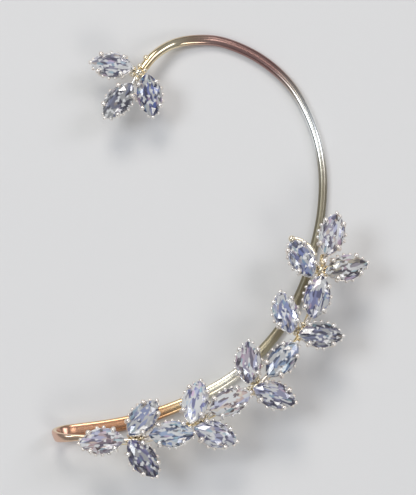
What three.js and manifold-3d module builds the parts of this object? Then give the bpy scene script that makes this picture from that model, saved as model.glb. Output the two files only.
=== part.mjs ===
// Ear cuff: a gold-plated wire hook with nineteen marquise-cut stones, lying on its side.
// One wire starts at the top spray, arches over the ear, runs down behind it, folds
// forward under the lobe and climbs in front of the ear as a thin rail. The rail carries
// the other sprays, each stone held in a basket with four prongs. All metal is soldered.
// Millimetres, +Z up. The back of the wire rests on z = 0 and the stones face up.
import * as THREE from 'three';
import { ConvexGeometry } from 'three/addons/geometries/ConvexGeometry.js';
import { mergeVertices } from 'three/addons/utils/BufferGeometryUtils.js';
import Module from 'manifold-3d';

// Wire
const hookWidth = 35.6;         // centreline, from the fold at the lobe to the right side
const hookHeight = 56.3;        // centreline, from the front rail to the top of the arch
const railRise = 4.4;           // front rail's centreline above the back wire's
const foldReach = 2.8;          // how far the fold bulges past the ends of its two legs
const wireWidth = 1.45;         // at the top of the arch
const wireThickness = 1.1;
const wireSides = 12;
const ringStep = 2.8;           // distance between the wire's sections

// Stones
const stoneLength = 6.0;
const stoneWidth = 3.4;
const girdleThickness = 0.14;
const crownHeight = 0.55;
const pavilionDepth = 1.3;
const stoneClearance = 0.08;    // between each stone and the metal

// Settings
const prongWire = 0.34;
const prongBead = 0.5;
const prongSides = 5;
const barDiameter = 0.6;
const barSides = 6;
const shoulderDrop = 0.78;      // from the girdle down to the bend in each prong
const hubBead = 1.3;
const hubSegments = { around: 8, over: 6 };
const sprayGap = 1.4;           // from a middle stone's tip to the next spray's hub

const goldColour = 0xd9b877;
const stoneColour = 0xd9dcf0;

// Centreline of the back wire, from the top spray to the fold. x and y are shares of the
// hook's width and height, rise is a share of railRise above the resting height, and
// wide and thick are shares of the wire's width and thickness.
const backWire = [
  { x: 0.297, y: 0.901, rise: 0.56, wide: 0.86, thick: 0.90 },
  { x: 0.359, y: 0.953, rise: 0.41, wide: 0.90, thick: 0.95 },
  { x: 0.435, y: 0.987, rise: 0.18, wide: 0.95, thick: 1.00 },
  { x: 0.538, y: 0.999, rise: 0.04, wide: 1.00, thick: 1.00 },
  { x: 0.624, y: 0.993, rise: 0.00, wide: 1.00, thick: 1.00 },
  { x: 0.767, y: 0.950, rise: 0.00, wide: 0.97, thick: 1.00 },
  { x: 0.885, y: 0.879, rise: 0.00, wide: 0.90, thick: 1.00 },
  { x: 0.962, y: 0.781, rise: 0.00, wide: 0.83, thick: 1.00 },
  { x: 0.997, y: 0.679, rise: 0.00, wide: 0.80, thick: 1.00 },
  { x: 0.993, y: 0.575, rise: 0.00, wide: 0.80, thick: 1.00 },
  { x: 0.963, y: 0.481, rise: 0.00, wide: 0.81, thick: 1.00 },
  { x: 0.921, y: 0.389, rise: 0.00, wide: 0.84, thick: 1.00 },
  { x: 0.824, y: 0.277, rise: 0.00, wide: 0.93, thick: 1.00 },
  { x: 0.664, y: 0.175, rise: 0.00, wide: 1.00, thick: 1.00 },
  { x: 0.480, y: 0.109, rise: 0.00, wide: 1.05, thick: 1.00 },
  { x: 0.271, y: 0.062, rise: 0.00, wide: 1.25, thick: 1.00 },
  { x: 0.066, y: 0.040, rise: 0.00, wide: 1.35, thick: 1.00 },
];

// Centreline of the front rail, from the fold up to where it could run on past the last
// spray. It is cut off under that spray.
const frontRail = [
  { x: 0.087, y: 0.014, rise: 1, wide: 0.60, thick: 0.60 },
  { x: 0.294, y: 0.006, rise: 1, wide: 0.60, thick: 0.60 },
  { x: 0.532, y: 0.055, rise: 1, wide: 0.60, thick: 0.60 },
  { x: 0.739, y: 0.132, rise: 1, wide: 0.60, thick: 0.60 },
  { x: 0.910, y: 0.263, rise: 1, wide: 0.60, thick: 0.60 },
  { x: 0.983, y: 0.409, rise: 1, wide: 0.60, thick: 0.60 },
  { x: 0.992, y: 0.507, rise: 1, wide: 0.60, thick: 0.60 },
  { x: 0.955, y: 0.640, rise: 1, wide: 0.60, thick: 0.60 },
];

// The fold, by its angle in degrees from the back leg round to the front one. The band
// narrows as it goes.
const foldRows = [
  { angle: 30, wide: 1.30, thick: 0.90 },
  { angle: 60, wide: 1.24, thick: 0.80 },
  { angle: 90, wide: 1.12, thick: 0.72 },
  { angle: 120, wide: 0.94, thick: 0.66 },
  { angle: 150, wide: 0.72, thick: 0.62 },
];
const foldHeading = 184;        // plan direction in which the fold bulges, in degrees

// Sprays, in the order in which they climb the rail. spare is the extra distance from
// the spray before, as a share of sprayGap. The top spray sits on the wire's other end.
const sprays = [
  { name: 'top', spare: null },
  { name: 'one', spare: 0.00 },
  { name: 'two', spare: 0.04 },
  { name: 'three', spare: -0.21 },
  { name: 'four', spare: 0.49 },
  { name: 'five', spare: -0.17 },
];

// Distances along the rail and places in a spray, as shares of the stone's length
const leadShare = 1.22;         // fold to the first hub
const pitchShare = 1.25;        // hub to the tip of the middle stone ahead of it
const tailShare = 0.4;          // rail past the last hub
const prongReach = 0.27;        // stone's middle to its prongs
const barReach = 0.25;          // stone's middle to either end of its bar

// Heights above the rail's top
const barSeat = 0.1;            // bar's axis, as a share of barDiameter
const hubSeat = 0.25;           // hub bead's centre, as a share of hubBead

// A prong from its foot on the bar to its tip over the crown. along is a share of the
// prong's distance from the stone's middle, out a share of its wire or bead past the
// room that the stone needs, and over a share of its bead above the table.
const prongShape = {
  foot: { along: 0.75 },
  shoulder: { out: 0.15 },
  bead: { out: -0.4, over: -0.35 },
  tip: { out: -0.5, over: 0.1, size: 0.4 },
};

// Stones. along is a share of the stone's length and across a share of its width, from
// the hub, ahead and to the left. turn is the angle from the rail's direction to the
// stone's outer tip, and dip how far that tip tilts down, both in degrees.
const leaves = [
  { spray: 'top', name: 'left', along: 0.30, across: 0.96, turn: 46, dip: 10 },
  { spray: 'top', name: 'middle', along: 0.83, across: 0.13, turn: -1, dip: 4 },
  { spray: 'top', name: 'right', along: 0.25, across: -0.99, turn: -63, dip: 10 },
  { spray: 'one', name: 'lobe', along: -0.70, across: 0.06, turn: 180, dip: 0 },
  { spray: 'one', name: 'left', along: 0.24, across: 0.78, turn: 46, dip: 10 },
  { spray: 'one', name: 'middle', along: 0.82, across: 0.00, turn: -4, dip: -3 },
  { spray: 'one', name: 'right', along: 0.14, across: -0.77, turn: -58, dip: 11 },
  { spray: 'two', name: 'left', along: 0.06, across: 0.65, turn: 52, dip: 10 },
  { spray: 'two', name: 'middle', along: 0.74, across: 0.07, turn: 1, dip: -3 },
  { spray: 'two', name: 'right', along: 0.17, across: -0.82, turn: -41, dip: 11 },
  { spray: 'three', name: 'left', along: 0.21, across: 0.88, turn: 49, dip: 10 },
  { spray: 'three', name: 'middle', along: 0.79, across: 0.09, turn: 8, dip: -3 },
  { spray: 'three', name: 'right', along: 0.17, across: -0.75, turn: -58, dip: 11 },
  { spray: 'four', name: 'left', along: 0.17, across: 0.89, turn: 42, dip: 10 },
  { spray: 'four', name: 'middle', along: 0.78, across: 0.09, turn: 16, dip: -3 },
  { spray: 'four', name: 'right', along: 0.10, across: -0.73, turn: -62, dip: 11 },
  { spray: 'five', name: 'left', along: 0.17, across: 0.82, turn: 37, dip: 10 },
  { spray: 'five', name: 'middle', along: 0.80, across: -0.17, turn: -3, dip: 3 },
  { spray: 'five', name: 'right', along: 0.14, across: -0.96, turn: -65, dip: 11 },
];

const wasm = await Module();
wasm.setup();

const up = new THREE.Vector3(0, 0, 1);
const radians = THREE.MathUtils.degToRad;
const flatShare = Math.cos(Math.PI / wireSides);   // a flat's distance from the centreline

// A closed three.js geometry as a solid that can be joined and cut.
function solid(geometry) {
  geometry.deleteAttribute('normal');
  geometry.deleteAttribute('uv');
  const merged = mergeVertices(geometry, 1e-5);
  return new wasm.Manifold(new wasm.Mesh({
    numProp: 3,
    vertProperties: new Float32Array(merged.attributes.position.array),
    triVerts: new Uint32Array(merged.index.array),
  }));
}

function geometryOf(manifold) {
  const mesh = manifold.getMesh();
  const geometry = new THREE.BufferGeometry();
  geometry.setAttribute('position', new THREE.BufferAttribute(mesh.vertProperties, 3));
  geometry.setIndex(new THREE.BufferAttribute(mesh.triVerts, 1));
  geometry.computeVertexNormals();
  return geometry;
}

// A closed body along stations, each with a place and a section's width and thickness.
// The section keeps its roll from station to station, and lies level where one says so.
function sweep(stations, sides, firstSide = up) {
  const positions = [];
  const side = firstSide.clone();
  stations.forEach((station, i) => {
    const before = stations[Math.max(i - 1, 0)].at;
    const after = stations[Math.min(i + 1, stations.length - 1)].at;
    const ahead = after.clone().sub(before).normalize();
    if (station.level) side.crossVectors(up, ahead);
    side.addScaledVector(ahead, -side.dot(ahead)).normalize();
    const top = ahead.clone().cross(side);
    for (let k = 0; k < sides; k++) {
      const angle = (k + 0.5) * 2 * Math.PI / sides;
      const point = station.at.clone();
      point.addScaledVector(side, Math.cos(angle) * station.wide / 2);
      point.addScaledVector(top, Math.sin(angle) * station.thick / 2);
      positions.push(point.x, point.y, point.z);
    }
  });
  const index = [];
  for (let ring = 0; ring + 1 < stations.length; ring++) {
    for (let k = 0; k < sides; k++) {
      const a = ring * sides + k;
      const b = ring * sides + (k + 1) % sides;
      index.push(a, b, b + sides, a, b + sides, a + sides);
    }
  }
  const last = (stations.length - 1) * sides;
  for (let k = 1; k + 1 < sides; k++) {
    index.push(0, k + 1, k);
    index.push(last, last + k, last + k + 1);
  }
  const geometry = new THREE.BufferGeometry();
  geometry.setAttribute('position', new THREE.Float32BufferAttribute(positions, 3));
  geometry.setIndex(index);
  return geometry;
}

// The pointed oval of two equal arcs, anticlockwise from its +x tip.
function marquise(length, width, steps) {
  const radius = (length ** 2 + width ** 2) / (4 * width);
  const sweepAngle = Math.asin(length / 2 / radius);
  const points = [];
  for (const half of [1, -1]) {
    for (let k = 0; k < steps; k++) {
      const angle = half * sweepAngle * (1 - 2 * k / steps);
      const y = radius * Math.cos(angle) - (radius - width / 2);
      points.push(new THREE.Vector2(radius * Math.sin(angle), half * y));
    }
  }
  return points;
}

// Half the width of the stone's outline at a distance from its middle.
function halfWidthAt(x) {
  const radius = (stoneLength ** 2 + stoneWidth ** 2) / (4 * stoneWidth);
  return Math.sqrt(radius ** 2 - x ** 2) - (radius - stoneWidth / 2);
}

// A faceted marquise, length along x, table up and girdle on z = 0. grow makes it larger
// all round, to cut the room that it needs in the metal.
const outlineSteps = 8;         // corners along each side of the outline
const tableShare = 0.56;
const crownShare = { outline: 0.82, height: 0.62 };
const pavilionShare = { outline: 0.56, depth: 0.56 };
const keelShare = 0.15;
function stoneGeometry(grow) {
  const length = stoneLength + 2 * grow;
  const width = stoneWidth + 2 * grow;
  const girdle = girdleThickness / 2 + grow;
  const points = [];
  const lay = (share, z, keep) => {
    marquise(length * share, width * share, outlineSteps).forEach((p, k) => {
      if (keep(k)) points.push(new THREE.Vector3(p.x, p.y, z));
    });
  };
  const even = (k) => k % 2 === 0;
  const odd = (k) => k % 2 === 1;
  const all = () => true;
  lay(tableShare, girdle + crownHeight, even);
  lay(crownShare.outline, girdle + crownHeight * crownShare.height, odd);
  lay(1, girdle, all);
  lay(1, -girdle, all);
  lay(pavilionShare.outline, -girdle - pavilionDepth * pavilionShare.depth, odd);
  for (const end of [1, -1]) {
    points.push(new THREE.Vector3(end * keelShare * length, 0, -girdle - pavilionDepth));
  }
  return new ConvexGeometry(points);
}

// Route of the whole wire
const restHeight = flatShare * wireThickness / 2;
function routePoint(row) {
  return new THREE.Vector3(row.x * hookWidth, row.y * hookHeight, restHeight + row.rise * railRise);
}
const backEnd = routePoint(backWire[backWire.length - 1]);
const railBegin = routePoint(frontRail[0]);
const foldMiddle = backEnd.clone().add(railBegin).multiplyScalar(0.5);
const foldHalf = railBegin.clone().sub(backEnd).multiplyScalar(0.5);
const foldAhead = new THREE.Vector3(Math.cos(radians(foldHeading)), Math.sin(radians(foldHeading)), 0);
const fold = foldRows.map((row) => ({
  ...row,
  at: foldMiddle.clone()
    .addScaledVector(foldHalf, -Math.cos(radians(row.angle)))
    .addScaledVector(foldAhead, foldReach * Math.sin(radians(row.angle))),
}));
const rows = [
  ...backWire.map((row) => ({ ...row, level: true, at: routePoint(row) })),
  ...fold,
  ...frontRail.map((row) => ({ ...row, at: routePoint(row) })),
];
const route = new THREE.CatmullRomCurve3(rows.map((row) => row.at), false, 'centripetal');
const routeDivisions = 4000;
const routeLengths = route.getLengths(routeDivisions);
const lengthAt = (t) => routeLengths[Math.round(t * routeDivisions)];
const paramAt = (length) => routeLengths.findIndex((reached) => reached >= length) / routeDivisions;
const railStart = lengthAt((backWire.length + fold.length) / (rows.length - 1));

// Each spray's hub: its place on the wire and the direction in which the spray points.
const sprayPitch = pitchShare * stoneLength + sprayGap;
const hubs = new Map();
let reached = railStart + leadShare * stoneLength - sprayPitch;
for (const spray of sprays) {
  const onRail = spray.spare !== null;
  if (onRail) reached += sprayPitch + spray.spare * sprayGap;
  const t = onRail ? paramAt(reached) : 0;
  const ahead = route.getTangent(t).setZ(0).normalize().multiplyScalar(onRail ? 1 : -1);
  hubs.set(spray.name, { at: route.getPoint(t), ahead, heading: Math.atan2(ahead.y, ahead.x) });
}
const railEnd = reached + tailShare * stoneLength;

// The wire itself
function sectionAt(t) {
  const place = Math.min(t * (rows.length - 1), rows.length - 1 - 1e-9);
  const first = rows[Math.floor(place)];
  const next = rows[Math.floor(place) + 1];
  const share = place - Math.floor(place);
  const at = route.getPoint(t);
  return {
    at: at.setZ(Math.max(at.z, restHeight)),
    wide: wireWidth * THREE.MathUtils.lerp(first.wide, next.wide, share),
    thick: wireThickness * THREE.MathUtils.lerp(first.thick, next.thick, share),
    level: first.level && (share === 0 || next.level === true),
  };
}
const stations = [];
for (let i = 0; i + 1 < rows.length; i++) {
  const count = Math.max(1, Math.round(rows[i].at.distanceTo(rows[i + 1].at) / ringStep));
  for (let k = 0; k < count; k++) {
    const t = (i + k / count) / (rows.length - 1);
    if (lengthAt(t) < railEnd - ringStep / 3) stations.push(sectionAt(t));
  }
}
stations.push(sectionAt(paramAt(railEnd)));
const wire = solid(sweep(stations, wireSides));

// Seats: where each stone lies. The bar under a stone sits on the rail, and the stone's
// keel stands just clear of the bar.
const railTop = flatShare * wireThickness * frontRail[0].thick / 2;
const barLift = railTop + barDiameter * barSeat;
const keelLift = barDiameter / 2 + stoneClearance + pavilionDepth + girdleThickness / 2;
const hubLift = railTop + hubBead * hubSeat;
const model = new THREE.Group();
const seats = leaves.map((leaf) => {
  const hub = hubs.get(leaf.spray);
  const left = new THREE.Vector3(-hub.ahead.y, hub.ahead.x, 0);
  const reach = new THREE.Vector3()
    .addScaledVector(hub.ahead, leaf.along * stoneLength)
    .addScaledVector(left, leaf.across * stoneWidth);
  const drop = reach.length() * Math.sin(radians(leaf.dip));
  const heading = hub.heading + radians(leaf.turn);
  const outward = new THREE.Vector3(Math.cos(heading), Math.sin(heading), 0)
    .multiplyScalar(Math.cos(radians(leaf.dip))).setZ(-Math.sin(radians(leaf.dip)));
  const across = new THREE.Vector3().crossVectors(up, outward).normalize();
  const normal = new THREE.Vector3().crossVectors(outward, across);
  const seat = new THREE.Group();
  seat.position.copy(hub.at).add(reach);
  seat.position.z += barLift + keelLift - drop;
  seat.quaternion.setFromRotationMatrix(new THREE.Matrix4().makeBasis(outward, across, normal));
  seat.updateMatrix();
  return { leaf, hub, seat };
});

// One basket, in its seat's frame: a bar under the keel and two bent wires across it,
// whose ends are the four prongs. Each prong closes over the girdle with a bead.
function basket() {
  const barEnds = [-barReach, barReach].map((share) => ({
    at: new THREE.Vector3(share * stoneLength, 0, -keelLift), wide: barDiameter, thick: barDiameter,
  }));
  const pieces = [solid(sweep(barEnds, barSides))];
  const x = prongReach * stoneLength;
  const outside = halfWidthAt(x - prongWire / 2) + stoneClearance + prongWire / 2;
  const tableTop = girdleThickness / 2 + crownHeight;
  const { shoulder, bead, tip } = prongShape;
  const foot = { x: x * prongShape.foot.along, y: 0, z: -keelLift, size: prongWire };
  const rising = [
    { x, y: outside + prongWire * shoulder.out, z: -shoulderDrop, size: prongWire },
    { x, y: outside + prongBead * bead.out, z: tableTop + prongBead * bead.over, size: prongBead },
    { x, y: outside + prongBead * tip.out, z: tableTop + prongBead * tip.over, size: prongBead * tip.size },
  ];
  const mirrored = rising.map((row) => ({ ...row, y: -row.y })).reverse();
  for (const end of [1, -1]) {
    const claw = [...mirrored, foot, ...rising].map((row) => ({
      at: new THREE.Vector3(end * row.x, row.y, row.z), wide: row.size, thick: row.size,
    }));
    pieces.push(solid(sweep(claw, prongSides, new THREE.Vector3(1, 0, 0))));
  }
  return wasm.Manifold.union(pieces);
}
const oneBasket = basket();

// An arm from the spray's hub to the inner end of the bar under a stone.
function arm(hub, seat) {
  const from = hub.at.clone().setZ(hub.at.z + barLift);
  const to = new THREE.Vector3(-barReach * stoneLength, 0, -keelLift).applyMatrix4(seat.matrix);
  const ends = [from, to].map((at) => ({ at, wide: barDiameter, thick: barDiameter }));
  return solid(sweep(ends, barSides));
}

// The soldered metal: wire, hubs, arms and baskets joined, with room cut for the stones.
const metal = [wire];
const room = [];
const stoneRoom = solid(stoneGeometry(stoneClearance));
for (const hub of hubs.values()) {
  const bead = new THREE.SphereGeometry(hubBead / 2, hubSegments.around, hubSegments.over);
  bead.translate(hub.at.x, hub.at.y, hub.at.z + hubLift);
  metal.push(solid(bead));
}
for (const { hub, seat } of seats) {
  metal.push(oneBasket.transform(seat.matrix.toArray()), arm(hub, seat));
  room.push(stoneRoom.transform(seat.matrix.toArray()));
}
const frame = wasm.Manifold.union(metal).subtract(wasm.Manifold.union(room));
const cuffFrame = new THREE.Mesh(
  geometryOf(frame),
  new THREE.MeshStandardMaterial({ color: goldColour, roughness: 0.18, metalness: 1 }),
);
cuffFrame.name = 'cuff_frame';
model.add(cuffFrame);

// The stones, each in its seat
for (const { leaf, seat } of seats) {
  const stone = new THREE.Mesh(
    stoneGeometry(0),
    new THREE.MeshStandardMaterial({ color: stoneColour, roughness: 0.05, metalness: 0, flatShading: true }),
  );
  stone.name = `stone_${leaf.spray}_${leaf.name}`;
  seat.add(stone);
  model.add(seat);
}

// The origin is the middle of the resting face of the model's box.
model.updateMatrixWorld(true);
const box = new THREE.Box3().setFromObject(model, true);
const middle = box.getCenter(new THREE.Vector3());
model.position.set(-middle.x, -middle.y, -box.min.z);
const earCuff = new THREE.Group();
earCuff.add(model);

export default earCuff;
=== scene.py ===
import math
import random
import bmesh
import bpy
from mathutils import Matrix, Vector


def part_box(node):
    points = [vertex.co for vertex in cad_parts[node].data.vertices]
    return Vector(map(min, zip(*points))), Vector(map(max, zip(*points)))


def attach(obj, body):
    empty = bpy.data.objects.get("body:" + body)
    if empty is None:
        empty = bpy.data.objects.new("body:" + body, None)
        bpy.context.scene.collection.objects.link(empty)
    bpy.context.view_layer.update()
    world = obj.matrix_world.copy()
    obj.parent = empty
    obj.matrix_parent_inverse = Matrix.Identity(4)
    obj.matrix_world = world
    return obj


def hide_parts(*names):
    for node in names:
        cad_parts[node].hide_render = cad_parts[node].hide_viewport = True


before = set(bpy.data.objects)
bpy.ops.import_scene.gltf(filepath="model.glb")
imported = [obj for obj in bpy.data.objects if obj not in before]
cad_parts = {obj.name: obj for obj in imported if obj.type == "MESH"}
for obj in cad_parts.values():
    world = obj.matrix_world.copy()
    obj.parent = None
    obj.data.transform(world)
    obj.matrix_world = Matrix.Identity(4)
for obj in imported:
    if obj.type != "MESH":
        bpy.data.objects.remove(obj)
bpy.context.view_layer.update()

# Hook and rail
# One length of brass wire, rolled thin and flat at the lobe and drawn round elsewhere,
# then plated in pale gold. It is bent over the ear, folded forward under the lobe and
# run back up in front as the rail that carries the sprays. Its back lies on the table.
mm = 0.001
up = Vector((0, 0, 1))
hook_width = 35.6 * mm
hook_height = 56.3 * mm
rail_rise = 4.4 * mm
wire_width = 1.45 * mm
wire_thickness = 1.1 * mm
rest_share = 0.966
rest_height = rest_share * wire_thickness / 2
fold_reach = 2.8 * mm
fold_heading = math.radians(184)
wire_polish = 0.11
wire_sides = 28
wire_step = 0.4 * mm

# x and y are shares of the hook's width and height, rise a share of the rail's rise,
# wide and thick shares of the wire's width and thickness. power is 2 for a round
# section and more for a flattened one. angle is the way round the fold, in degrees.
back_rows = [
    dict(x=0.297, y=0.901, rise=0.56, wide=0.86, thick=0.90, power=2.0),
    dict(x=0.359, y=0.953, rise=0.41, wide=0.90, thick=0.95, power=2.0),
    dict(x=0.435, y=0.987, rise=0.18, wide=0.95, thick=1.00, power=2.1),
    dict(x=0.538, y=0.999, rise=0.04, wide=1.00, thick=1.00, power=2.2),
    dict(x=0.624, y=0.993, rise=0.00, wide=1.00, thick=1.00, power=2.2),
    dict(x=0.767, y=0.950, rise=0.00, wide=0.97, thick=1.00, power=2.2),
    dict(x=0.885, y=0.879, rise=0.00, wide=0.90, thick=1.00, power=2.1),
    dict(x=0.962, y=0.781, rise=0.00, wide=0.83, thick=1.00, power=2.0),
    dict(x=0.997, y=0.679, rise=0.00, wide=0.80, thick=1.00, power=2.0),
    dict(x=0.993, y=0.575, rise=0.00, wide=0.80, thick=1.00, power=2.0),
    dict(x=0.963, y=0.481, rise=0.00, wide=0.81, thick=1.00, power=2.0),
    dict(x=0.921, y=0.389, rise=0.00, wide=0.84, thick=1.00, power=2.0),
    dict(x=0.824, y=0.277, rise=0.00, wide=0.93, thick=1.00, power=2.2),
    dict(x=0.664, y=0.175, rise=0.00, wide=1.00, thick=1.00, power=2.5),
    dict(x=0.480, y=0.109, rise=0.00, wide=1.05, thick=1.00, power=2.8),
    dict(x=0.271, y=0.062, rise=0.00, wide=1.25, thick=1.00, power=3.2),
    dict(x=0.066, y=0.040, rise=0.00, wide=1.35, thick=1.00, power=3.4),
]
fold_rows = [
    dict(angle=30, wide=1.30, thick=0.90, power=3.4),
    dict(angle=60, wide=1.24, thick=0.80, power=3.2),
    dict(angle=90, wide=1.12, thick=0.72, power=3.0),
    dict(angle=120, wide=0.94, thick=0.66, power=2.8),
    dict(angle=150, wide=0.72, thick=0.62, power=2.4),
]
rail_rows = [
    dict(x=0.087, y=0.014, rise=1, wide=0.60, thick=0.60, power=2.2),
    dict(x=0.294, y=0.006, rise=1, wide=0.60, thick=0.60, power=2.0),
    dict(x=0.532, y=0.055, rise=1, wide=0.60, thick=0.60, power=2.0),
    dict(x=0.739, y=0.132, rise=1, wide=0.60, thick=0.60, power=2.0),
    dict(x=0.910, y=0.263, rise=1, wide=0.60, thick=0.60, power=2.0),
    dict(x=0.983, y=0.409, rise=1, wide=0.60, thick=0.60, power=2.0),
    dict(x=0.992, y=0.507, rise=1, wide=0.60, thick=0.60, power=2.0),
    dict(x=0.955, y=0.640, rise=1, wide=0.60, thick=0.60, power=2.0),
]
rail_length = 45.5 * mm


def placed(row):
    """The place of a row's x, y and rise."""
    height = rest_height + row["rise"] * rail_rise
    return Vector((row["x"] * hook_width, row["y"] * hook_height, height))


def bend_between(p0, p1, p2, p3, share):
    """A point between p1 and p2 on the smooth bend through all four."""
    knots = [0.0]
    for a, b in ((p0, p1), (p1, p2), (p2, p3)):
        knots.append(knots[-1] + math.sqrt((b - a).length))
    t0, t1, t2, t3 = knots
    t = t1 + (t2 - t1) * share
    a1 = p0 * ((t1 - t) / (t1 - t0)) + p1 * ((t - t0) / (t1 - t0))
    a2 = p1 * ((t2 - t) / (t2 - t1)) + p2 * ((t - t1) / (t2 - t1))
    a3 = p2 * ((t3 - t) / (t3 - t2)) + p3 * ((t - t2) / (t3 - t2))
    b1 = a1 * ((t2 - t) / (t2 - t0)) + a2 * ((t - t0) / (t2 - t0))
    b2 = a2 * ((t3 - t) / (t3 - t1)) + a3 * ((t - t1) / (t3 - t1))
    return b1 * ((t2 - t) / (t2 - t1)) + b2 * ((t - t1) / (t2 - t1))


def bent_stations(rows, step):
    """Stations every step along a smooth bend through the rows' places."""
    places = [row["at"] for row in rows]
    places = [places[0] * 2 - places[1]] + places + [places[-1] * 2 - places[-2]]
    stations = []
    for i in range(len(rows) - 1):
        here, ahead = rows[i], rows[i + 1]
        count = max(2, round((ahead["at"] - here["at"]).length / step))
        for k in range(count + 1 if i == len(rows) - 2 else count):
            share = k / count
            station = {"at": bend_between(*places[i:i + 4], share), "row": i + share}
            station["level"] = here.get("level", False) and (k == 0 or ahead.get("level", False))
            for size in ("wide", "thick", "power"):
                station[size] = here[size] + (ahead[size] - here[size]) * share
            stations.append(station)
    return stations


# The dome on each end of a wire: a share of its section, and how many thicknesses that
# section stands out.
end_dome = ((0.35, 0.45), (0.75, 0.33))


def skin(shape, stations, sides, first_side=up, lowest=None):
    """Skins a wire of changing section along its stations, domed at both ends."""
    lengths = shape.loops.layers.uv.verify()
    side = first_side.copy()
    rings = []
    travelled = 0.0
    for i, station in enumerate(stations):
        before = stations[max(i - 1, 0)]["at"]
        after = stations[min(i + 1, len(stations) - 1)]["at"]
        ahead = (after - before).normalized()
        if station.get("level"):
            side = up.cross(ahead)
        side = (side - ahead * side.dot(ahead)).normalized()
        top = ahead.cross(side)
        if i:
            travelled += (station["at"] - before).length
        sections = [(1.0, 0.0)]
        if i == 0:
            sections = [(share, -push) for share, push in end_dome] + sections
        if i == len(stations) - 1:
            sections = sections + list(reversed(end_dome))
        for share, push in sections:
            ring = []
            for k in range(sides):
                angle = (k + 0.5) * 2 * math.pi / sides
                c, s = math.cos(angle), math.sin(angle)
                squared = 2 / station.get("power", 2.0)
                across = math.copysign(abs(c) ** squared, c) * station["wide"] / 2 * share
                high = math.copysign(abs(s) ** squared, s) * station["thick"] / 2 * share
                point = station["at"] + side * across + top * high + ahead * push * station["thick"]
                if lowest is not None:
                    point.z = max(point.z, lowest)
                ring.append(shape.verts.new(point))
            rings.append((ring, travelled))
    for (ring, near), (next_ring, far) in zip(rings, rings[1:]):
        for k in range(sides):
            j = (k + 1) % sides
            face = shape.faces.new((ring[k], ring[j], next_ring[j], next_ring[k]))
            face.smooth = True
            corners = ((near, k), (near, k + 1), (far, k + 1), (far, k))
            for loop, (along, around) in zip(face.loops, corners):
                loop[lengths].uv = (along / mm, around / sides)
    shape.faces.new(list(reversed(rings[0][0]))).smooth = True
    shape.faces.new(rings[-1][0]).smooth = True


def piece_from(shape, name, material, node):
    """Makes a shape a finished piece of the cuff, shown instead of a node of the frame."""
    mesh = bpy.data.meshes.new(name)
    bmesh.ops.recalc_face_normals(shape, faces=shape.faces)
    shape.to_mesh(mesh)
    shape.free()
    mesh.materials.append(material)
    piece = bpy.data.objects.new(name, mesh)
    bpy.context.scene.collection.objects.link(piece)
    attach(piece, "root")
    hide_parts(node)


def ramp_of(tree, value, stops, change="LINEAR"):
    """Turns a grey into colours, by stops of a position and a colour with its strength."""
    ramp = tree.nodes.new("ShaderNodeValToRGB")
    ramp.color_ramp.interpolation = change
    marks = ramp.color_ramp.elements
    while len(marks) < len(stops):
        marks.new(1.0)
    for mark, (position, colour) in zip(marks, stops):
        mark.position = position
        mark.color = colour
    tree.links.new(value, ramp.inputs["Fac"])
    return ramp


def noise_on(tree, place, scale, detail):
    """Cloudy greys at a place of the surface."""
    noise = tree.nodes.new("ShaderNodeTexNoise")
    noise.inputs["Scale"].default_value = scale
    noise.inputs["Detail"].default_value = detail
    tree.links.new(place, noise.inputs["Vector"])
    return noise.outputs["Fac"]


def combined(tree, operation, first, second):
    """Two greys multiplied or added."""
    both = tree.nodes.new("ShaderNodeMath")
    both.operation = operation
    tree.links.new(first, both.inputs[0])
    tree.links.new(second, both.inputs[1])
    return both.outputs["Value"]


def plated_gold(name, colour, rosy, roughness):
    """Pale gold plate: rosier and paler patches with a fine polish grain."""
    material = bpy.data.materials.new(name)
    material.use_nodes = True
    tree = material.node_tree
    plate = tree.nodes["Principled BSDF"]
    plate.inputs["Metallic"].default_value = 1.0
    plate.inputs["Base Color"].default_value = (*colour, 1)
    plate.inputs["Roughness"].default_value = roughness
    place = tree.nodes.new("ShaderNodeTexCoord").outputs["Object"]
    patches = noise_on(tree, place, scale=160, detail=3)
    tint = ramp_of(tree, patches, [(0.36, (*rosy, 1)), (0.66, (*colour, 1))])
    tree.links.new(tint.outputs["Color"], plate.inputs["Base Color"])
    polish = tree.nodes.new("ShaderNodeMapRange")
    polish.inputs["To Min"].default_value = roughness * 0.6
    polish.inputs["To Max"].default_value = roughness * 1.5
    tree.links.new(noise_on(tree, place, scale=2600, detail=4), polish.inputs["Value"])
    tree.links.new(polish.outputs["Result"], plate.inputs["Roughness"])
    return material


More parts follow.
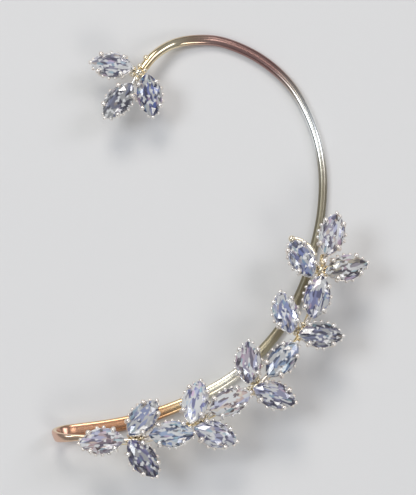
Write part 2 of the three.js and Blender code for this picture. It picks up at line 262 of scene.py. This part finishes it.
def drawn_gold(name, gold_and_painted_light, satins, length):
    """The wire's plate: gold with painted light along the wire, its satin and the draw plate's lines."""
    material = plated_gold(name, gold_and_painted_light[0][1], gold_and_painted_light[0][1], wire_polish)
    tree = material.node_tree
    plate = tree.nodes["Principled BSDF"]
    place = tree.nodes.new("ShaderNodeTexCoord").outputs["UV"]
    along = tree.nodes.new("ShaderNodeSeparateXYZ")
    tree.links.new(place, along.inputs["Vector"])
    share = tree.nodes.new("ShaderNodeMapRange")
    share.inputs["From Max"].default_value = length / mm
    tree.links.new(along.outputs["X"], share.inputs["Value"])
    share_along, share_around = share.outputs["Result"], along.outputs["Y"]
    tint = ramp_of(tree, share_along, [(position, (*colour, 1)) for position, colour in gold_and_painted_light])

    # A cream highlight is painted on one edge of the lowest stretch. Each row says where the
    # highlight starts and where it is full, as a share of the way round or along the wire.
    highlight_limits = (
        (share_around, 0.34, 0.40), (share_around, 0.53, 0.47),
        (share_along, 0.49, 0.54), (share_along, 0.70, 0.65),
    )
    painted_highlight_edge = None
    for value, starts, full in highlight_limits:
        rise = tree.nodes.new("ShaderNodeMapRange")
        rise.inputs["From Min"].default_value = starts
        rise.inputs["From Max"].default_value = full
        tree.links.new(value, rise.inputs["Value"])
        if painted_highlight_edge is None:
            painted_highlight_edge = rise.outputs["Result"]
        else:
            painted_highlight_edge = combined(tree, "MULTIPLY", painted_highlight_edge, rise.outputs["Result"])
    painted_highlight = tree.nodes.new("ShaderNodeMixRGB")
    painted_highlight.inputs["Color2"].default_value = (0.98, 0.84, 0.58, 1)
    tree.links.new(painted_highlight_edge, painted_highlight.inputs["Fac"])
    tree.links.new(tint.outputs["Color"], painted_highlight.inputs["Color1"])
    tree.links.new(painted_highlight.outputs["Color"], plate.inputs["Base Color"])

    satin = ramp_of(tree, share_along, [(position, (extra, extra, extra, 1)) for position, extra in satins])
    polish = plate.inputs["Roughness"].links[0].from_socket
    tree.links.new(combined(tree, "ADD", satin.outputs["Color"], polish), plate.inputs["Roughness"])
    stretch = tree.nodes.new("ShaderNodeMapping")
    stretch.inputs["Scale"].default_value = (0.25, 14, 1)
    tree.links.new(place, stretch.inputs["Vector"])
    relief = tree.nodes.new("ShaderNodeBump")
    relief.inputs["Strength"].default_value = 0.03
    relief.inputs["Distance"].default_value = 0.02 * mm
    marks = noise_on(tree, stretch.outputs["Vector"], scale=1.0, detail=3)
    tree.links.new(marks, relief.inputs["Height"])
    tree.links.new(relief.outputs["Normal"], plate.inputs["Normal"])
    return material


back_run = [dict(row, at=placed(row), level=True) for row in back_rows]
rail_run = [dict(row, at=placed(row)) for row in rail_rows]
leg_end, rail_begin = back_run[-1]["at"], rail_run[0]["at"]
fold_middle = (leg_end + rail_begin) / 2
fold_half = (rail_begin - leg_end) / 2
fold_ahead = Vector((math.cos(fold_heading), math.sin(fold_heading), 0))
fold_run = []
for row in fold_rows:
    turn = math.radians(row["angle"])
    place = fold_middle - fold_half * math.cos(turn) + fold_ahead * fold_reach * math.sin(turn)
    fold_run.append(dict(row, at=place))
wire_run = back_run + fold_run + rail_run
for row in wire_run:
    row["wide"] *= wire_width
    row["thick"] *= wire_thickness
wire_stations = bent_stations(wire_run, wire_step)
rail_stations = [s for s in wire_stations if s["row"] >= len(back_run) + len(fold_run)]
for before, station in zip([rail_stations[0]] + rail_stations, rail_stations):
    station["along"] = before.get("along", 0.0) + (station["at"] - before["at"]).length
wire_stations = [s for s in wire_stations if s.get("along", 0.0) <= rail_length]
for station in wire_stations:
    station["at"].z = max(station["at"].z, rest_height)

# The cuff's box sets the wire in its place: the top of the arch is the box's farthest
# point along y, and the outside of the fold its lowest along x.
frame_low, frame_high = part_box("cuff_frame")
arch_top = max(s["at"].y + s["wide"] / 2 for s in wire_stations)
fold_edge = min(s["at"].x - s["thick"] / 2 for s in wire_stations)
wire_shift = Vector((frame_low.x - fold_edge, frame_high.y - arch_top, 0))
for station in wire_stations:
    station["at"] += wire_shift

# Each row of both lists opens with a share of the way along the wire, from its upper end.
# The colours are the pale gold with painted reflections, highlights and shade along it:
# plum, silver and dark taupe bands, cream highlights, a copper shade in the fold and a
# pink reflection on its outer lip. A satin is what the plate's roughness gains there.
wire_gold_and_painted_light = [
    (0.00, (0.80, 0.60, 0.34)), (0.045, (0.95, 0.84, 0.60)), (0.065, (0.58, 0.42, 0.30)),
    (0.085, (0.50, 0.32, 0.29)), (0.11, (0.39, 0.23, 0.21)), (0.15, (0.37, 0.22, 0.20)),
    (0.18, (0.56, 0.50, 0.44)), (0.205, (0.90, 0.92, 0.90)), (0.235, (0.90, 0.93, 0.91)),
    (0.255, (0.44, 0.41, 0.34)), (0.28, (0.29, 0.26, 0.19)), (0.42, (0.34, 0.30, 0.21)),
    (0.46, (0.64, 0.58, 0.42)), (0.48, (1.00, 0.98, 0.88)), (0.505, (0.98, 0.94, 0.78)),
    (0.53, (0.78, 0.62, 0.38)), (0.56, (0.54, 0.28, 0.14)), (0.64, (0.66, 0.36, 0.24)),
    (0.665, (0.76, 0.50, 0.40)), (0.72, (0.92, 0.76, 0.48)),
]
wire_satins = [
    (0.06, 0.0), (0.09, 0.12), (0.16, 0.12), (0.20, 0.04), (0.24, 0.04), (0.27, 0.22), (0.42, 0.22),
    (0.46, 0.16), (0.51, 0.14), (0.56, 0.12), (0.70, 0.10),
]
wire_length = sum((b["at"] - a["at"]).length for a, b in zip(wire_stations, wire_stations[1:]))
wire_gold = drawn_gold("wire_gold", wire_gold_and_painted_light, wire_satins, wire_length)
wire_shape = bmesh.new()
skin(wire_shape, wire_stations, wire_sides, lowest=0.0)
piece_from(wire_shape, "hook_wire", wire_gold, "cuff_frame")

# Hub beads
# A small cast bead is soldered on the wire wherever the arms of a spray meet, one at the
# wire's upper end and five along the rail. Each stands on a low collar among six grains
# of solder and hides the joint. A lone smaller bead sits on the wire beside the top one.
hub_radius = 0.65 * mm
hub_rise = 0.64 * mm
hub_sides = 28
collar_radius = 0.52 * mm
collar_height = 0.3 * mm
collar_flare = 1.1
collar_drop = 0.62 * hub_radius
solder_beads = 6
solder_radius = 0.36 * mm
solder_first_turn = 0.3
solder_out = 1.42 * hub_radius
solder_rise = 0.10 * mm
solder_step = 0.16 * mm
stop_radius = 0.42 * mm
stop_distance = 2.2 * mm
stop_aside = 0.50 * mm
stop_rise = 0.40 * mm
hubs_along_rail = {
    "one": 7.32 * mm, "two": 16.28 * mm, "three": 24.88 * mm, "four": 34.47 * mm, "five": 43.13 * mm,
}


def add_ball(shape, place, radius, around, rows):
    """Adds a ball with so many corners around and so many rows of faces."""
    bmesh.ops.create_uvsphere(shape, u_segments=around, v_segments=rows, radius=radius,
                              matrix=Matrix.Translation(place))


def soften(shape, most_corners=4):
    """Makes a shape look smooth, apart from faces with more corners than that."""
    for face in shape.faces:
        face.smooth = len(face.verts) <= most_corners


bead_gold = plated_gold("bead_gold", (0.98, 0.92, 0.78), (0.94, 0.80, 0.56), 0.08)
hubs = {"top": wire_stations[0]["at"].copy()}
for name, along in hubs_along_rail.items():
    nearest = min(rail_stations, key=lambda s: abs(s["along"] - along))
    hubs[name] = nearest["at"].copy()
for name, at in hubs.items():
    hub_shape = bmesh.new()
    hub_shape.loops.layers.uv.verify()
    add_ball(hub_shape, at + up * hub_rise, hub_radius, around=hub_sides, rows=16)
    collar = Matrix.Translation(at + up * (hub_rise - collar_drop))
    bmesh.ops.create_cone(hub_shape, cap_ends=True, segments=hub_sides, depth=collar_height,
                          radius1=collar_radius * collar_flare, radius2=collar_radius, matrix=collar)
    for k in range(solder_beads):
        turn = 2 * math.pi * (k + solder_first_turn) / solder_beads
        out = Vector((math.cos(turn), math.sin(turn), 0)) * solder_out
        high = hub_rise + solder_rise + solder_step * (k % 2)
        add_ball(hub_shape, at + up * high + out, solder_radius, around=16, rows=10)
    soften(hub_shape)
    piece_from(hub_shape, "hub_" + name, bead_gold, "cuff_frame")
stop_at = next(s["at"] for s in wire_stations if (s["at"] - hubs["top"]).length > stop_distance)
stop_side = up.cross((stop_at - hubs["top"]).normalized()).normalized()
stop_shape = bmesh.new()
stop_shape.loops.layers.uv.verify()
stop_place = stop_at + stop_side * stop_aside + up * stop_rise
add_ball(stop_shape, stop_place, stop_radius, around=20, rows=12)
soften(stop_shape)
piece_from(stop_shape, "stop_bead", bead_gold, "cuff_frame")

# Baskets
# Every stone has its own soldered basket: a bar and an arm to the hub, two thin gallery
# rails with milled grains, and two bent wires whose balled ends close over the girdle. The
# left stone of the fifth spray also has a plain strip along one edge, with a balled end.
stone_length = 6.0 * mm
stone_width = 3.4 * mm
girdle_thickness = 0.14 * mm
crown_height = 0.55 * mm
bar_diameter = 0.6 * mm
bar_drop = 1.75 * mm
bar_reach = 0.25 * stone_length
bar_sides = 14
arm_rise = 0.38 * mm
arm_swells = ((0, 1.7), (0.25, 1.5), (0.5, 1.15), (0.75, 1.0), (1, 1.0))
claw_diameter = 0.34 * mm
claw_reach = 0.27 * stone_length
claw_turn = 0.44
claw_ball = 0.36 * mm
claw_ball_out = 0.09 * mm
claw_ball_drop = 0.19 * mm
claw_step = 0.16 * mm
claw_sides = 10
gallery_diameter = 0.3 * mm
gallery_sides = 8
galleries = (
    dict(inset=0.10 * mm, drop=0.46 * mm, steps=72),
    dict(inset=0.86 * mm, drop=1.12 * mm, steps=48),
)
tip_bead = 0.28 * mm
tip_bead_out = 0.02 * mm
root_bead = 0.33 * mm
root_bead_out = 0.10 * mm
root_bead_drop = 0.12 * mm
root_bead_turns = (1.46, 2.54)
grain_radius = 0.26 * mm
grain_pitch = 0.84 * mm
grain_out = 0.10 * mm
grain_drop = 0.27 * mm
grain_lean = 0.25
edge_samples = 400
claw_room = 0.42 * mm
root_room = 0.17 * stone_length
strip_width = 0.30 * mm
strip_thickness = 0.44 * mm
strip_out = 0.14 * mm
strip_drop = 0.05 * mm
strip_steps = 8
strip_first_turn = 2.9
strip_turns = 1.02
strip_ball = 0.46 * mm
strip_ball_in = 0.05 * mm
strip_ball_rise = 0.20 * mm
stone_names = sorted(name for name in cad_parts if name.startswith("stone_"))


def seat_of(name, hub, tip_size=0.3 * mm):
    """The stone's place: x along it from the hub outwards, z out of its table."""
    points = {tuple(round(c, 7) for c in v.co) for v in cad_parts[name].data.vertices}
    points = [Vector(p) for p in sorted(points)]
    pairs = ((a, b) for i, a in enumerate(points) for b in points[i + 1:])
    ends = max(pairs, key=lambda pair: (pair[0] - pair[1]).length)
    tips = []
    for end in ends:
        near = [p for p in points if (p - end).length < tip_size]
        tips.append(sum(near, Vector()) / len(near))
    tips.sort(key=lambda tip: (tip - hub).length)
    along = (tips[1] - tips[0]).normalized()
    out = (up - along * up.dot(along)).normalized()
    seat = Matrix((along, out.cross(along), out)).transposed().to_4x4()
    seat.translation = (tips[0] + tips[1]) / 2
    return seat


def outline_point(turn, inset, tip_inset=1.4):
    """A point of the stone's pointed outline, drawn in by inset, and more at its tips.
    The turn runs from 0 to 4, by quarters."""
    length, width = stone_length - 2 * inset * tip_inset, stone_width - 2 * inset
    radius = (length ** 2 + width ** 2) / (4 * width)
    reach = math.asin(length / 2 / radius)
    half = 1 if turn < 2 else -1
    angle = half * reach * (1 - turn % 2)
    return Vector((radius * math.sin(angle), half * (radius * math.cos(angle) - radius + width / 2), 0))


def ring_stations(inset, drop, steps):
    """Stations once round the stone's outline, closed by running a little past the start."""
    stations = []
    for k in range(steps + 2):
        turn = (1 + 4 * k / steps) % 4
        at = outline_point(turn, inset) - up * drop
        stations.append({"at": at, "wide": gallery_diameter, "thick": gallery_diameter})
    return stations


def claw_stations(edge, over):
    """Stations of one claw wire, from claw to claw under the stone, at x = 1."""
    half = [
        dict(x=0.75, y=0.0, z=-bar_drop),
        dict(x=0.84, y=0.45 * edge, z=-bar_drop + 0.12 * mm),
        dict(x=0.97, y=edge + 0.20 * mm, z=-0.90 * mm),
        dict(x=1.0, y=edge + 0.26 * mm, z=-0.30 * mm),
        dict(x=1.0, y=edge + 0.20 * mm, z=0.20 * mm),
        dict(x=1.0, y=edge + 0.05 * mm, z=over - 0.20 * mm),
    ]
    return [dict(row, y=-row["y"]) for row in reversed(half[1:])] + half


def grain_places():
    """Places along the stone's edge, clear of its claws and of its root."""
    around = [outline_point(4 * k / edge_samples, 0) for k in range(edge_samples)]
    places = []
    since = 0.0
    for before, here in zip(around, around[1:]):
        since += (here - before).length
        if since < grain_pitch:
            continue
        since = 0.0
        beside_claw = abs(abs(here.x) - claw_reach) < claw_room
        if not beside_claw and here.x >= root_room - stone_length / 2:
            outward = Vector((here.x * grain_lean, here.y, 0)).normalized()
            places.append(here + outward * grain_out - up * grain_drop)
    return places


def basket_shape():
    """One basket in its seat's own axes, with the girdle's middle plane at z = 0."""
    shape = bmesh.new()
    bar = [{"at": Vector((x * bar_reach, 0, -bar_drop)), "wide": bar_diameter, "thick": bar_diameter}
           for x in (-1, 1)]
    skin(shape, bar, bar_sides)
    for gallery in galleries:
        skin(shape, ring_stations(**gallery), gallery_sides)
    edge = abs(outline_point(claw_turn, 0).y)
    over = girdle_thickness / 2 + crown_height
    for end in (1, -1):
        rows = [{"at": Vector((end * row["x"] * claw_reach, row["y"], row["z"])), "wide": claw_diameter,
                 "thick": claw_diameter, "power": 2.0} for row in claw_stations(edge, over)]
        skin(shape, bent_stations(rows, claw_step), claw_sides, Vector((1, 0, 0)))
        for way in (1, -1):
            ball = Vector((end * claw_reach, way * (edge + claw_ball_out), over - claw_ball_drop))
            add_ball(shape, ball, claw_ball, around=18, rows=12)
    tip = Vector((stone_length / 2 + tip_bead_out, 0, -tip_bead_out))
    add_ball(shape, tip, tip_bead, around=16, rows=10)
    for turn in root_bead_turns:
        root = outline_point(turn, -root_bead_out) - up * root_bead_drop
        add_ball(shape, root, root_bead, around=16, rows=10)
    for grain in grain_places():
        bmesh.ops.create_icosphere(shape, subdivisions=2, radius=grain_radius,
                                   matrix=Matrix.Translation(grain))
    for face in shape.faces:
        face.smooth = True
    return shape


claw_gold = plated_gold("claw_gold", (1.0, 0.98, 0.95), (0.98, 0.90, 0.82), 0.26)
one_basket = bpy.data.meshes.new("basket")
basket = basket_shape()
basket.to_mesh(one_basket)
basket.free()
seats = {}
for name in stone_names:
    hub = hubs[name.split("_")[1]]
    seats[name] = seat_of(name, hub)
    shape = bmesh.new()
    shape.from_mesh(one_basket)
    shape.transform(seats[name])
    start = hub + up * arm_rise
    finish = seats[name] @ Vector((-bar_reach, 0, -bar_drop))
    arm = [{"at": start.lerp(finish, share), "wide": bar_diameter * swell, "thick": bar_diameter * swell}
           for share, swell in arm_swells]
    skin(shape, arm, bar_sides)
    piece_from(shape, name.replace("stone", "basket"), claw_gold, "cuff_frame")
bpy.data.meshes.remove(one_basket)

edge_strip = bmesh.new()
strip_run = []
for k in range(strip_steps + 1):
    turn = strip_first_turn + strip_turns * k / strip_steps
    edge = outline_point(turn, -strip_out) - up * strip_drop
    strip_run.append({"at": edge, "wide": strip_width, "thick": strip_thickness})
skin(edge_strip, strip_run, bar_sides)
strip_end = Vector((stone_length / 2 - strip_ball_in, 0, strip_ball_rise))
add_ball(edge_strip, strip_end, strip_ball, around=24, rows=16)
for face in edge_strip.faces:
    face.smooth = True
edge_strip.transform(seats["stone_five_left"])
piece_from(edge_strip, "edge_strip_five_left", bead_gold, "cuff_frame")

# Stones
# Nineteen marquise-cut cubic zirconias, 6 by 3.4 mm. Their colour is painted light:
# lavender, blue, rose and champagne flashes and dark and white facets painted as
# reflections, and a painted brightness for each stone. Each has a pointed oval table, rows
# of small facets on its crown and pavilion and a short keel, and its claws alone hold it.
pavilion_depth = 1.3 * mm
keel_reach = 0.15 * stone_length
least_bend = math.radians(0.6)
deep_at_table = 0.7
pattern_room = 90
pattern_behind = 30

# Each ring of corners: its share of the outline, the side of the girdle that it lies on
# and its share of the crown's height or the pavilion's depth, its corners, and the part
# of a corner that it is turned by.
cut_rings = (
    dict(share=0.56, side=1, height=1.0, corners=8, turned=0),
    dict(share=0.80, side=1, height=0.60, corners=8, turned=0.5),
    dict(share=0.92, side=1, height=0.28, corners=16, turned=0),
    dict(share=1.0, side=1, height=0.0, corners=32, turned=0),
    dict(share=1.0, side=-1, height=0.0, corners=32, turned=0),
    dict(share=0.84, side=-1, height=0.22, corners=16, turned=0),
    dict(share=0.66, side=-1, height=0.45, corners=8, turned=0.5),
    dict(share=0.40, side=-1, height=0.75, corners=8, turned=0),
)

# How the facets share out the painted reflections and how strongly: dark ones in the dimmed
# deep tint, then the deep and the pale tint. Each up_to counts the rows before it too, and
# the facets past the last row are white, a painted highlight.
painted_reflection_mix = (
    dict(up_to=0.18, tint="deep", strength=0.22),
    dict(up_to=0.38, tint="deep", strength=0.5),
    dict(up_to=0.56, tint="deep", strength=1.0),
    dict(up_to=0.80, tint="pale", strength=1.0),
)

# The deep and the pale tint of each stone's painted reflections, and the painted light or shade
# that makes the whole stone brighter or darker.
stone_painted_light = {
    "stone_top_left": ((0.20, 0.26, 0.74), (0.52, 0.60, 1.00), 0.70),
    "stone_top_middle": ((0.36, 0.36, 0.50), (0.66, 0.68, 0.86), 0.46),
    "stone_top_right": ((0.30, 0.29, 0.38), (0.56, 0.54, 0.66), 0.90),
    "stone_one_lobe": ((0.62, 0.44, 0.44), (0.88, 0.76, 0.80), 0.90),
    "stone_one_left": ((0.42, 0.50, 0.88), (0.76, 0.80, 1.00), 0.70),
    "stone_one_middle": ((0.40, 0.52, 0.82), (0.70, 0.82, 0.90), 0.95),
    "stone_one_right": ((0.34, 0.30, 0.60), (0.58, 0.58, 0.98), 0.50),
    "stone_two_left": ((0.48, 0.54, 1.00), (0.82, 0.86, 1.00), 1.70),
    "stone_two_middle": ((0.78, 0.60, 0.56), (0.98, 0.88, 0.78), 1.05),
    "stone_two_right": ((0.48, 0.48, 0.68), (0.78, 0.78, 0.94), 0.90),
    "stone_three_left": ((0.58, 0.50, 0.60), (0.84, 0.78, 0.84), 0.90),
    "stone_three_middle": ((0.32, 0.46, 0.76), (0.70, 0.84, 1.00), 0.75),
    "stone_three_right": ((0.38, 0.37, 0.54), (0.72, 0.72, 0.90), 0.85),
    "stone_four_left": ((0.32, 0.38, 0.74), (0.60, 0.66, 0.96), 0.75),
    "stone_four_middle": ((0.32, 0.34, 0.64), (0.60, 0.64, 1.00), 0.82),
    "stone_four_right": ((0.34, 0.32, 0.48), (0.62, 0.60, 0.78), 0.55),
    "stone_five_left": ((0.26, 0.32, 0.80), (0.56, 0.64, 1.00), 0.60),
    "stone_five_middle": ((0.58, 0.50, 0.52), (0.90, 0.84, 0.82), 1.05),
    "stone_five_right": ((0.56, 0.48, 0.42), (0.90, 0.84, 0.60), 0.90),
}


def painted_facet_reflection(draw, deep, pale):
    """The painted reflection on one facet: a dark one, the stone's deep or pale tint, or white."""
    roll = draw.random()
    for part in painted_reflection_mix:
        if roll < part["up_to"]:
            tint = deep if part["tint"] == "deep" else pale
            return [c * part["strength"] for c in tint]
    return [1.0, 1.0, 1.0]


def cut_stone(name, deep, pale, level):
    """The faceted stone, with each facet's painted flash and the stone's painted light level on it."""
    half = girdle_thickness / 2
    shape = bmesh.new()
    for ring in cut_rings:
        depth = crown_height if ring["side"] > 0 else pavilion_depth
        for k in range(ring["corners"]):
            corner = outline_point((4 * (k + ring["turned"]) / ring["corners"]) % 4, 0) * ring["share"]
            corner.z = ring["side"] * (half + depth * ring["height"])
            shape.verts.new(corner)
    for x in (1, -1):
        shape.verts.new((x * keel_reach, 0, -half - pavilion_depth))
    bmesh.ops.convex_hull(shape, input=shape.verts)
    bmesh.ops.dissolve_limit(shape, angle_limit=least_bend, verts=shape.verts, edges=shape.edges)
    flash = shape.loops.layers.float_color.new("flash")
    painted_brightness = shape.loops.layers.float.new("painted_brightness")
    lengths = shape.loops.layers.uv.verify()
    draw = random.Random(name)
    own_pattern = draw.uniform(0, pattern_room)
    table = max(shape.faces, key=lambda face: face.calc_center_median().z)
    for face in sorted(shape.faces, key=lambda f: tuple(round(c, 6) for c in f.calc_center_median())):
        shade = painted_facet_reflection(draw, deep, pale)
        if face == table:
            # The table is painted with more of the deep tint.
            shade = [b + (a - b) * deep_at_table for a, b in zip(deep, pale)]
        back_pattern = pattern_behind if face.calc_center_median().z < 0 else 0
        for loop in face.loops:
            loop[flash] = (*shade, 1)
            loop[painted_brightness] = level
            loop[lengths].uv = (loop.vert.co.x / mm + own_pattern, loop.vert.co.y / mm + back_pattern)
    return shape


def inner_facets(tree, place, long, wide, channel):
    """A random grey for each inner facet, long along the stone and narrow across it, in mm."""
    stretch = tree.nodes.new("ShaderNodeMapping")
    stretch.inputs["Scale"].default_value = (1 / long, 1 / wide, 1)
    tree.links.new(place, stretch.inputs["Vector"])
    cells = tree.nodes.new("ShaderNodeTexVoronoi")
    cells.voronoi_dimensions = "2D"
    cells.distance = "MANHATTAN"
    cells.inputs["Scale"].default_value = 1.0
    tree.links.new(stretch.outputs["Vector"], cells.inputs["Vector"])
    pick = tree.nodes.new("ShaderNodeSeparateColor")
    tree.links.new(cells.outputs["Color"], pick.inputs["Color"])
    return pick.outputs[channel]


def laid_over(tree, under, over):
    """A ramp's shades on top of a colour, each as strong as its stop says."""
    mixed = tree.nodes.new("ShaderNodeMixRGB")
    tree.links.new(over.outputs["Alpha"], mixed.inputs["Fac"])
    tree.links.new(under, mixed.inputs["Color1"])
    tree.links.new(over.outputs["Color"], mixed.inputs["Color2"])
    return mixed.outputs["Color"]


painted_light_stone = bpy.data.materials.new("painted_light_stone")
painted_light_stone.use_nodes = True
tree = painted_light_stone.node_tree
crystal = tree.nodes["Principled BSDF"]
crystal.inputs["Roughness"].default_value = 0.015
crystal.inputs["IOR"].default_value = 2.1
crystal.inputs["Transmission Weight"].default_value = 0.28
crystal.inputs["Base Color"].default_value = (0.80, 0.80, 0.95, 1)
place = tree.nodes.new("ShaderNodeTexCoord").outputs["UV"]
facets = tree.nodes.new("ShaderNodeVertexColor")
facets.layer_name = "flash"

# Three sizes of inner facets, all painted reflections, lie over the flash. The broad ones are
# dark slivers and blue and white flashes, the middle ones sparks of every colour, and the
# small ones white dots, painted glints.
broad = ramp_of(tree, inner_facets(tree, place, long=1.8, wide=0.5, channel="Red"), [
    (0.00, (0.08, 0.07, 0.14, 0.68)),
    (0.19, (0.26, 0.26, 0.46, 0.5)),
    (0.38, (0.5, 0.5, 0.5, 0.0)),
    (0.70, (0.64, 0.69, 1.0, 0.7)),
    (0.85, (1.0, 1.0, 1.0, 0.95)),
], change="CONSTANT")
sparks = ramp_of(tree, inner_facets(tree, place, long=0.80, wide=0.24, channel="Green"), [
    (0.00, (0.05, 0.04, 0.08, 0.7)),
    (0.14, (0.5, 0.5, 0.5, 0.0)),
    (0.68, (1.0, 0.82, 0.64, 0.55)),
    (0.71, (0.95, 0.64, 0.82, 0.5)),
    (0.75, (0.50, 0.84, 0.95, 0.5)),
    (0.79, (1.0, 1.0, 1.0, 1.0)),
], change="CONSTANT")
glints = ramp_of(tree, inner_facets(tree, place, long=0.36, wide=0.28, channel="Blue"), [
    (0.00, (0.5, 0.5, 0.5, 0.0)),
    (0.87, (1.0, 1.0, 1.0, 1.0)),
], change="CONSTANT")
flashing = laid_over(tree, laid_over(tree, facets.outputs["Color"], broad), sparks)
# The stone's painted brightness lights or shades its flashes; the white dots go on after, at full strength.
own_painted_brightness = tree.nodes.new("ShaderNodeAttribute")
own_painted_brightness.attribute_name = "painted_brightness"
dimmed = tree.nodes.new("ShaderNodeMixRGB")
dimmed.blend_type = "MULTIPLY"
dimmed.use_clamp = True
dimmed.inputs["Fac"].default_value = 1.0
tree.links.new(flashing, dimmed.inputs["Color1"])
tree.links.new(own_painted_brightness.outputs["Fac"], dimmed.inputs["Color2"])
tree.links.new(laid_over(tree, dimmed.outputs["Color"], glints), crystal.inputs["Base Color"])

for name in stone_names:
    shape = cut_stone(name, *stone_painted_light[name])
    shape.transform(seats[name])
    piece_from(shape, name.replace("stone", "gem"), painted_light_stone, name)

# Table top
# The cuff lies on a plain table painted a pale, dull grey. Its flat is far wider than the
# cuff, and its rim sweeps up all round into a low backdrop with no edge.
table_rings = (0.0, 0.5, 1.2)
sweep_radius = 2.0
sweep_bend = 0.9
sweep_steps = 12
table_sides = 96
table_shape = bmesh.new()
profile = [(out, 0.0) for out in table_rings]
for k in range(sweep_steps + 1):
    turn = math.radians(90 * k / sweep_steps)
    profile.append((sweep_radius + sweep_bend * math.sin(turn), sweep_bend * (1 - math.cos(turn))))
profile.append((sweep_radius + sweep_bend, 2 * sweep_bend))
previous = None
for out, height in profile:
    ring = [table_shape.verts.new((out * math.cos(a), out * math.sin(a), height))
            for a in (2 * math.pi * k / table_sides for k in range(table_sides if out else 1))]
    if previous:
        for k in range(table_sides):
            j = (k + 1) % table_sides
            low = (previous[0],) if len(previous) == 1 else (previous[j], previous[k])
            table_shape.faces.new((ring[k], ring[j], *low)).smooth = True
    previous = ring
table_mesh = bpy.data.meshes.new("table_top")
table_shape.to_mesh(table_mesh)
table_shape.free()
table_top = bpy.data.objects.new("table_top", table_mesh)
bpy.context.scene.collection.objects.link(table_top)
table_paint = bpy.data.materials.new("table_paint")
table_paint.use_nodes = True
paint = table_paint.node_tree.nodes["Principled BSDF"]
paint.inputs["Base Color"].default_value = (0.80, 0.795, 0.79, 1)
paint.inputs["Roughness"].default_value = 0.6
table_mesh.materials.append(table_paint)

# Light
# Four soft boxes stand round the table, a warm one behind, a cool one on the left and two
# weaker ones, and a small fifth one hangs overhead. The room above stays dim, so that the
# gold and the facets show bright and dark bands.
room = bpy.data.worlds.new("room")
bpy.context.scene.world = room
room.use_nodes = True
room.node_tree.nodes["Background"].inputs["Color"].default_value = (0.90, 0.94, 1.0, 1)
room.node_tree.nodes["Background"].inputs["Strength"].default_value = 0.32


def soft_box(name, at, wide, high, power, colour):
    """A rectangular lamp aimed at the cuff."""
    lamp = bpy.data.lights.new(name, "AREA")
    lamp.shape = "RECTANGLE"
    lamp.size = wide
    lamp.size_y = high
    lamp.energy = power
    lamp.color = colour
    box = bpy.data.objects.new(name, lamp)
    box.location = at
    box.rotation_euler = (-Vector(at)).to_track_quat("-Z", "Y").to_euler()
    bpy.context.scene.collection.objects.link(box)


soft_box("back_box", (-0.20, 0.85, 0.90), wide=0.50, high=0.45, power=4.4, colour=(1.0, 0.95, 0.88))
soft_box("left_box", (-0.75, 0.05, 1.05), wide=0.55, high=0.50, power=4.4, colour=(0.90, 0.95, 1.0))
soft_box("right_box", (0.80, 0.35, 0.75), wide=0.35, high=0.55, power=2.0, colour=(0.92, 0.92, 1.0))
soft_box("front_box", (0.50, -0.85, 0.85), wide=0.55, high=0.40, power=2.5, colour=(1.0, 0.97, 0.93))
soft_box("top_box", (0.07, 0.25, 1.25), wide=0.18, high=0.20, power=0.45, colour=(1.0, 0.97, 0.90))
bpy.context.scene.view_settings.view_transform = "Standard"

# Camera
# It looks down on the cuff from a little in front, as in the photograph, with a long lens
# that takes in the whole cuff and a margin of table.
camera_distance = 330 * mm
camera_data = bpy.data.cameras.new("camera")
camera_data.lens = 179.9
camera_data.sensor_width = 36
camera = bpy.data.objects.new("camera", camera_data)
look_at = Vector((-0.357, 0.242, 4.0)) * mm
tilt = math.radians(78)
back = Vector((0, -math.cos(tilt), math.sin(tilt)))
camera.location = look_at + back * camera_distance
camera.rotation_euler = (-back).to_track_quat("-Z", "Y").to_euler()
camera_data.clip_start = 0.01
camera_data.clip_end = 10
bpy.context.scene.collection.objects.link(camera)
bpy.context.scene.camera = camera
